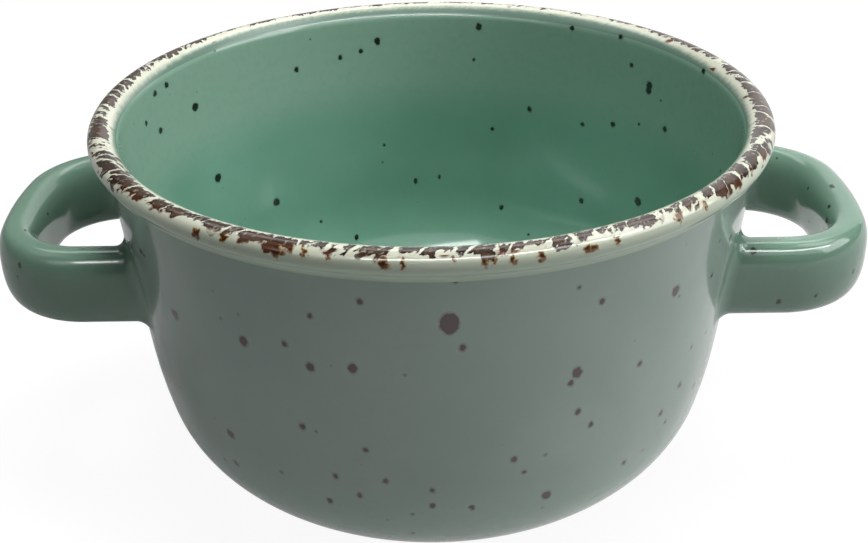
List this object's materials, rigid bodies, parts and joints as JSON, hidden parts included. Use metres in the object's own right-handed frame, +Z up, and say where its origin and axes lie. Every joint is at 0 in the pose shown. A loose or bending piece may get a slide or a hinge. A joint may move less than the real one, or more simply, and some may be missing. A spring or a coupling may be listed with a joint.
{
  "type": "soup cup",
  "caption": "Round glazed stoneware soup cup with a rolled rim, a wall that curves in to a low foot ring, and a horizontal strap handle looped from each side for lifting.",
  "frame": {"origin": "centre of the foot ring's underside, on the table", "axes": "+X towards the right-hand handle, +Y away from the camera, +Z up along the bowl's axis"},
  "size_m": [0.1756, 0.134, 0.079],
  "materials": {
    "stoneware": "bare fired clay",
    "green_glaze": "gloss",
    "rim_glaze": "gloss"
  },
  "bodies": {
    "root": {"bowl_body": "stoneware", "left_handle": "stoneware", "right_handle": "stoneware", "left_front_slip": "stoneware", "left_back_slip": "stoneware", "right_front_slip": "stoneware", "right_back_slip": "stoneware", "outer_glaze": "green_glaze", "inner_glaze": "green_glaze", "rim_glaze": "rim_glaze", "foot_well_glaze": "green_glaze", "left_handle_glaze": "green_glaze", "right_handle_glaze": "green_glaze"}
  },
  "joints": []
}
